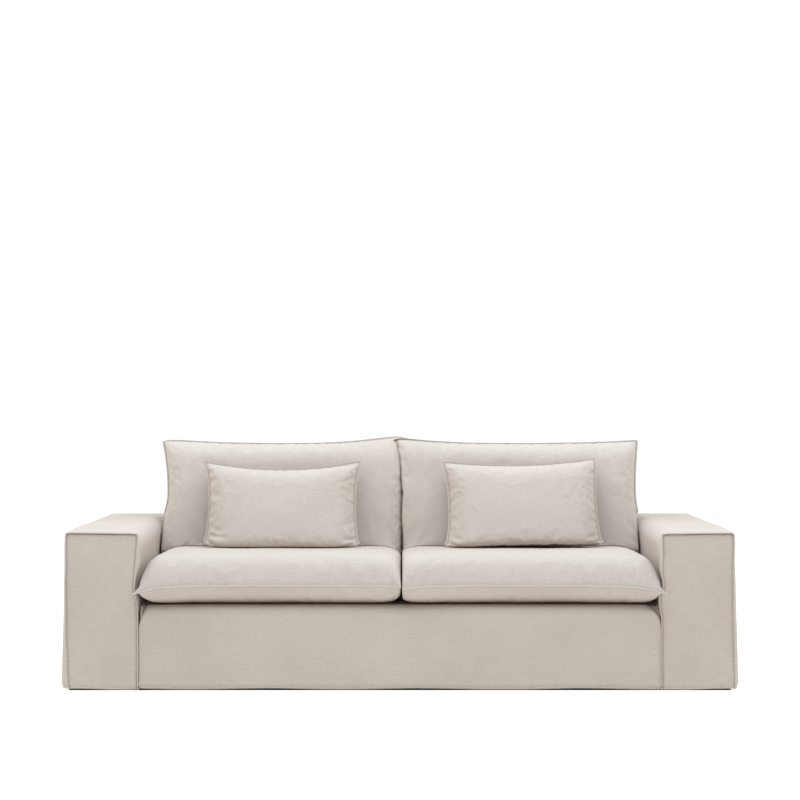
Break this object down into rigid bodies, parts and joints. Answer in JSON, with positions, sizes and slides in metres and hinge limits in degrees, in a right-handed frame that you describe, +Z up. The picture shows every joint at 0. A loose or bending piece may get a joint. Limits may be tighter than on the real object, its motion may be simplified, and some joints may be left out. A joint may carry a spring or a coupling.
{
  "type": "sofa slipcover set",
  "caption": "Loose linen slipcover for a wide-armed sofa: a hollow body cover of welted panels down to its hem, with filled knife-edge seat, back and lumbar cushions in the same cloth.",
  "frame": {"origin": "on the floor, below the middle of the whole set", "axes": "+Z up, +X to the viewer's right along the sofa, +Y from the seat's front edge towards the back"},
  "size_m": [2.4018, 1.05, 0.8789],
  "materials": {
    "linen": "unbleached plain-weave linen, matt, washed and not pressed"
  },
  "bodies": {
    "root": {"arm_front_left": "linen", "arm_front_right": "linen", "arm_back_left": "linen", "arm_back_right": "linen", "arm_wrap_left": "linen", "arm_wrap_right": "linen", "back_gusset_left": "linen", "back_gusset_right": "linen", "front_border": "linen", "deck": "linen", "inside_back": "linen", "outside_back": "linen", "seat_cushion_left": "linen", "seat_cushion_right": "linen", "back_cushion_left": "linen", "back_cushion_right": "linen", "lumbar_cushion_left": "linen", "lumbar_cushion_right": "linen"}
  },
  "joints": []
}
